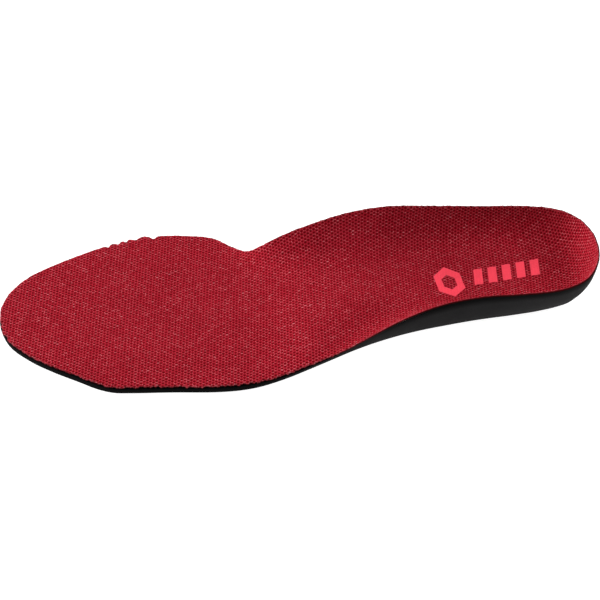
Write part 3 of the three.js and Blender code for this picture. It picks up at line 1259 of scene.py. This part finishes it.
    def _map(self, flat: Array) -> None:
        """Gives the cover its UV map in millimetres of flat cloth."""
        layer = self.object.data.uv_layers.new(name="Knit")
        layer.uv.foreach_set("vector", (flat[loop_corners(self.object.data)] / MM).ravel())

    def declare(self) -> None:
        size = np.ptp(self.outline, axis=0)
        area = abs(loop_area(self.outline))
        log.info("knit_cover: cut %.1f x %.1f mm, %.0f square mm", *size / MM, area / MM**2)


# ---- foam


@dataclass
class FoamFootbed:
    """The black foam: its moulded flank, rounded lower edge and two pockets."""

    footbed: Footbed
    shares: tuple = (0.75, 0.5, 0.25, 0.004)
    levels: tuple = (
        # least share of the rim's height, most depth below it
        (0.94, 1.2 * MM),
        (0.85, 2.6 * MM),
        (0.72, 4.6 * MM),
        (0.58, 1.0),
        (0.44, 1.0),
        (0.3, 1.0),
    )
    level_gap: float = 0.02
    edge_radius: float = 1.0 * MM
    edge_share: float = 0.18
    edge_turns: tuple = (90, 62, 38, 16, 0)
    pocket_gap: float = 0.3 * MM
    pocket_room: float = 0.75 * MM
    mouth: float = 0.35 * MM
    mouth_bend: tuple = (0.4, 0.3)
    reach: float = 14 * MM
    # Painted shade under the cover's rim: full down to a depth below the rim, fading out below it, and
    # over the whole flank where the rim is low.
    rim_shade_depth: float = 1.6 * MM
    rim_shade_fade: float = 2.6 * MM
    thick_from: float = 12 * MM
    thick_fade: float = 5 * MM
    drawn: tuple = (157 * MM, 190 * MM)
    drawn_margin: float = 20 * MM
    draw: float = 1.2 * MM
    draw_reach: float = 6 * MM
    draw_fade: float = 5 * MM

    def flank(self) -> Array:
        """Finds the CAD foam's flank below each ray's rim point.

        Returns:
            An array of (rays, shares + 1, 3) from the rim down.
        """
        mesh = merged_copy("foam_body")
        tree = BVHTree.FromBMesh(mesh)
        mesh.free()
        rim = self.footbed.rim()
        outward = loop_normals(rim[:, :2])[:: self.footbed.steps]
        rim = rim[:: self.footbed.steps]
        rows = [rim]
        for share in self.shares:
            row = []
            for (x, y, z), normal in zip(rim, outward):
                inner, out = Vector((x, y, z * share)), Vector((*normal, 0))
                row.append(tree.ray_cast(inner + out * self.reach, -out)[0] or inner)
            rows.append(np.array(row))
        return np.stack(rows, axis=1)

    def plan_at(self, fine: Array, share: Array) -> Array:
        """Finds the flank in plan, on the polynomial through its known rows.

        Args:
            fine: the known rows, from the rim down.
            share: the share of the rim's height, round the insole.

        Returns:
            An array of (rays, 2).
        """
        knots = np.array([1.0, *self.shares])
        found = np.zeros((len(fine), 2))
        for k, knot in enumerate(knots):
            others = knots[knots != knot]
            weight = np.prod((share[:, None] - others) / (knot - others), axis=1)
            found += fine[:, k, :2] * weight[:, None]
        return found

    def rows(self) -> list:
        """Shapes the flank from just under the rim to the flat base.

        Returns:
            Its loops of points.
        """
        fine = refine_loop(self.flank(), self.footbed.steps)
        heights = fine[:, 0, 2]
        radius = np.minimum(self.edge_radius, self.edge_share * heights)
        inward = -loop_normals(fine[:, -1, :2])
        loops = []
        for share, depth in self.levels:
            level = np.maximum(share, 1 - depth / heights)
            level = np.maximum(level, radius / heights + self.level_gap * share)
            loops.append(np.column_stack([self.plan_at(fine, level), heights * level]))
        for turn in self.edge_turns:
            angle = math.radians(turn)
            height = radius * (1 - math.cos(angle))
            step = radius * (1 - math.sin(angle))
            plan = self.plan_at(fine, height / heights) + inward * step[:, None]
            loops.append(np.column_stack([plan, height]))
        return loops

    def draw_back(self, points: Array) -> Array:
        """Draws the foam in a little below the notched stretch of the cover's edge.

        Args:
            points: the foam's points.

        Returns:
            The points, moved towards the lateral side near the medial rim of the forefoot.
        """
        rim = self.footbed.rim()
        rim = rim[(rim[:, 1] < 0) & (rim[:, 0] > self.drawn[0] - self.drawn_margin)]
        rim = rim[np.argsort(rim[:, 0])]
        x, y = points[:, 0], points[:, 1]
        inward = y - np.interp(x, rim[:, 0], rim[:, 1])
        along = np.clip((x - self.drawn[0]) / self.draw_fade, 0, 1)
        along *= np.clip((self.drawn[1] - x) / self.draw_fade, 0, 1)
        moved = points.copy()
        moved[:, 1] += self.draw * along * np.clip(1 - inward / self.draw_reach, 0, 1)
        return moved

    def pocket(self, outline: Array, top: float) -> list:
        """Shapes a pocket in the underside.

        Args:
            outline: the pad's outline.
            top: the height of the pad's top.

        Returns:
            Its loops of points, from its mouth up to its roof.
        """
        edge = loop_normals(outline)
        out, up = self.mouth_bend
        outs = (self.mouth, out * self.mouth, 0.0, 0.0)
        heights = (0.0, up * self.mouth, self.mouth, top + self.pocket_room)
        loops = [outline + edge * (self.pocket_gap + away) for away in outs]
        return [np.column_stack([loop, np.full(len(loop), z)]) for loop, z in zip(loops, heights)]

    def build(self, pads: list) -> Piece:
        """Builds the closed foam round the pads' pockets.

        Args:
            pads: the outlines of the pads and the heights of their tops.

        Returns:
            The foam.
        """
        bed = self.footbed
        keep, number, faces = bed.patch(bed.rim_row)
        points, total = [bed.points[keep]], len(keep)
        loop, rim = number[bed.index[:, bed.rim_row]], bed.rim()[:, 2]
        # cut gathers painted shade: full on the top's two outer rows under the cover's edge.
        cut = [np.isin(keep, bed.index[:, bed.rim_row - 1 :])]
        low_flank_shade = np.clip((self.thick_from - rim) / self.thick_fade, 0, 1)
        for row in self.rows():
            points.append(row)
            below = rim - row[:, 2]
            # Each flank row gets painted shade near the rim and, where the rim is low, all the way down.
            cut.append(np.maximum(np.clip(1 - (below - self.rim_shade_depth) / self.rim_shade_fade, 0, 1), low_flank_shade))
            here = total + np.arange(len(row))
            faces += band(loop, here)
            loop, total = here, total + len(row)
        base, mouths, numbers = points[-1][:, :2], [], [loop]
        for outline, top in pads:
            rings = self.pocket(outline, top)
            points += rings
            loops = total + np.arange(len(rings) * len(outline)).reshape(len(rings), -1)
            for first, second in zip(loops, loops[1:]):
                faces += band(first, second)
            faces.append(loops[-1].tolist())
            total += loops.size
            mouths.append(rings[0][:, :2])
            numbers.append(loops[0])
        under = fill_outline(base, np.empty((0, 2)), tuple(mouths))
        faces += np.concatenate(numbers)[under].tolist()
        foam = new_object("foam_footbed", self.draw_back(np.vstack(points)), faces)
        # The attribute cut carries the painted shade under the rim.
        set_attribute(foam, "cut", [*cut, np.zeros(total - sum(map(len, cut)))])
        face_outwards(foam, join=1e-7)
        dress(foam, FoamFinish().material(), "foam_body", sharp=35)
        return foam


# ---- film


@dataclass
class CoverFilm:
    """The hot-melt film between the foam and the cover."""

    footbed: Footbed
    rise: float = 0.02 * MM
    thick: float = 0.07 * MM
    short: int = 2

    def build(self) -> Piece:
        """Builds the film a few grid rows short of the rim, and thickens it.

        Returns:
            The film.
        """
        bed = self.footbed
        last = bed.rim_row - self.short
        keep, _, faces = bed.patch(last)
        points = bed.points[keep] + bed.normals[keep] * (self.rise + self.thick)
        film = new_object("cover_film", points, faces)
        size = np.ptp(bed.flat_row(last), axis=0)
        apply_modifier(film, "SOLIDIFY", thickness=self.thick, offset=-1.0)
        dress(film, GlueFinish().material(), "cover_adhesive", sharp=50)
        return film


# ---- pads


@dataclass
class CushionPad:
    """A soft pad let into the underside, with moulded rings on its face."""

    node: str
    name: str
    rings: int
    ring_width: float = 2.2 * MM
    groove_width: float = 0.9 * MM
    groove_depth: float = 0.45 * MM
    groove_side: float = 0.3
    roundness: float = 0.8
    corner_steps: int = 10
    edge: float = 0.45 * MM
    edge_share: float = 0.4
    edge_steps: int = 3

    def outline(self) -> Array:
        """The pad's outline in plan, from the CAD node."""
        return plan_corners(self.node)

    def top(self) -> float:
        """The height of the pad's top."""
        return float(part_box(self.node)[1].z)

    def build(self) -> Piece:
        """Models the pad from a block: corners and edges rounded, rings sunk into its face.

        Returns:
            The pad.
        """
        low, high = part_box(self.node)
        size = high - low
        pad = added(bpy.ops.mesh.primitive_cube_add, self.name, size, location=(low + high) / 2)
        pick(pad, "edges", lambda e: abs(e.verts[0].co.z - e.verts[1].co.z) > size.z / 2)
        corner = self.roundness * size.y / 2
        bpy.ops.mesh.bevel(offset=corner, segments=self.corner_steps, affect="EDGES")
        pick(pad, "edges", lambda e: max(v.co.z for v in e.verts) < low.z + 1e-6)
        edge = min(self.edge, self.edge_share * size.z)
        bpy.ops.mesh.bevel(offset=edge, segments=self.edge_steps, affect="EDGES")
        pick(pad, "faces", lambda f: f.normal.z < -0.99 and len(f.verts) > self.corner_steps)
        bpy.ops.mesh.inset(thickness=self.ring_width, depth=0)
        side = self.groove_side * self.groove_width
        for _ in range(self.rings):
            bpy.ops.mesh.inset(thickness=side, depth=-self.groove_depth)
            bpy.ops.mesh.inset(thickness=self.groove_width - 2 * side, depth=0)
            bpy.ops.mesh.inset(thickness=side, depth=self.groove_depth)
            bpy.ops.mesh.inset(thickness=self.ring_width, depth=0)
        bpy.ops.object.mode_set(mode="OBJECT")
        dress(pad, CushionFinish().material(), self.node, sharp=30)
        return pad


# ---- prints


@dataclass
class PrintedMark:
    """A mark of transfer ink pressed onto the knit."""

    node: str
    name: str
    cover: Piece
    cell: float = 0.32 * MM
    thick: float = 0.1 * MM
    rise: float = 0.05 * MM
    above: float = 5 * MM
    ring_corners: int = 8
    same_bearing: float = 0.02

    def outlines(self) -> tuple:
        """Reads the mark's outlines in plan, with a ring's corners paired by their bearing.

        Returns:
            The outer outline, and the hole's or None.
        """
        corners = plan_corners(self.node)
        if len(corners) < self.ring_corners:
            return corners, None
        bearing = np.round(bearings(corners), 2)
        outer, inner = [], []
        for value in np.unique(bearing):
            pair = corners[np.abs(bearing - value) < self.same_bearing]
            away = np.linalg.norm(pair - corners.mean(0), axis=1)
            outer.append(pair[away.argmax()])
            inner.append(pair[away.argmin()])
        return np.array(outer), np.array(inner)

    def build(self) -> Piece:
        """Models the mark: a fine grid cut to its outline, pressed onto the knit and thickened.

        Returns:
            The mark.
        """
        outer, hole = self.outlines()
        low, high = outer.min(0), outer.max(0)
        wide, deep = high - low + MM
        mark = added(
            bpy.ops.mesh.primitive_grid_add,
            self.name,
            (wide, deep, 1),
            x_subdivisions=int(wide / self.cell),
            y_subdivisions=int(deep / self.cell),
            location=(*(low + high) / 2, CAD_BOX[1].z + self.above),
        )
        self._cut(outer, clear=True)
        if hole is not None:
            self._cut(hole, clear=False)
            pick(mark, "faces", lambda f: inside(np.array([f.calc_center_median()[:2]]), hole)[0])
            bpy.ops.mesh.delete(type="FACE")
        bpy.ops.object.mode_set(mode="OBJECT")
        apply_modifier(
            mark,
            "SHRINKWRAP",
            target=self.cover,
            wrap_method="PROJECT",
            use_project_z=True,
            use_negative_direction=True,
            use_positive_direction=False,
            offset=self.rise,
        )
        apply_modifier(mark, "SMOOTH", factor=0.5, iterations=3, use_x=False, use_y=False)
        apply_modifier(mark, "SOLIDIFY", thickness=self.thick, offset=1.0)
        ink = bpy.data.materials.get("ink_pink") or InkFinish().material()
        dress(mark, ink, self.node, sharp=60)
        return mark

    @staticmethod
    def _cut(outline: Array, clear: bool) -> None:
        """Cuts the mesh in edit mode along each side of a convex outline.

        Args:
            outline: its corners, anticlockwise.
            clear: whether what is outside goes.
        """
        for here, there in zip(outline, np.roll(outline, -1, axis=0)):
            side = (there - here) / np.linalg.norm(there - here)
            across = (side[1], -side[0], 0)
            bpy.ops.mesh.select_all(action="SELECT")
            bpy.ops.mesh.bisect(plane_co=(*here, 0), plane_no=across, clear_outer=clear, threshold=1e-6)


# ---- assembly


def main() -> None:
    """Builds the studio and every piece in order."""
    logging.basicConfig(level=logging.INFO, format="%(name)s: %(message)s")
    Studio().build()
    footbed = Footbed()
    footbed.build()
    log.info("footbed: %d points", len(footbed.points))
    pads = [
        CushionPad("heel_pad", "heel_cushion", rings=2),
        CushionPad("forefoot_pad", "forefoot_cushion", rings=6),
    ]
    for pad in pads:
        pad.build()
    FoamFootbed(footbed).build([(pad.outline(), pad.top()) for pad in pads])
    CoverFilm(footbed).build()
    for node in ("heel_pad_adhesive", "forefoot_pad_adhesive"):
        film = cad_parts[node]
        film.data.materials.clear()
        film.data.materials.append(bpy.data.materials["glue_film"])
    cover = KnitCover(footbed)
    cover.build()
    names = [("heel_emblem", "emblem_print")]
    names += [(f"heel_bar_{k}", f"bar_print_{k}") for k in range(1, 6)]
    marks = [PrintedMark(node, name, cover.object).build() for node, name in names]
    cover.declare()


if __name__ == "__main__":
    main()
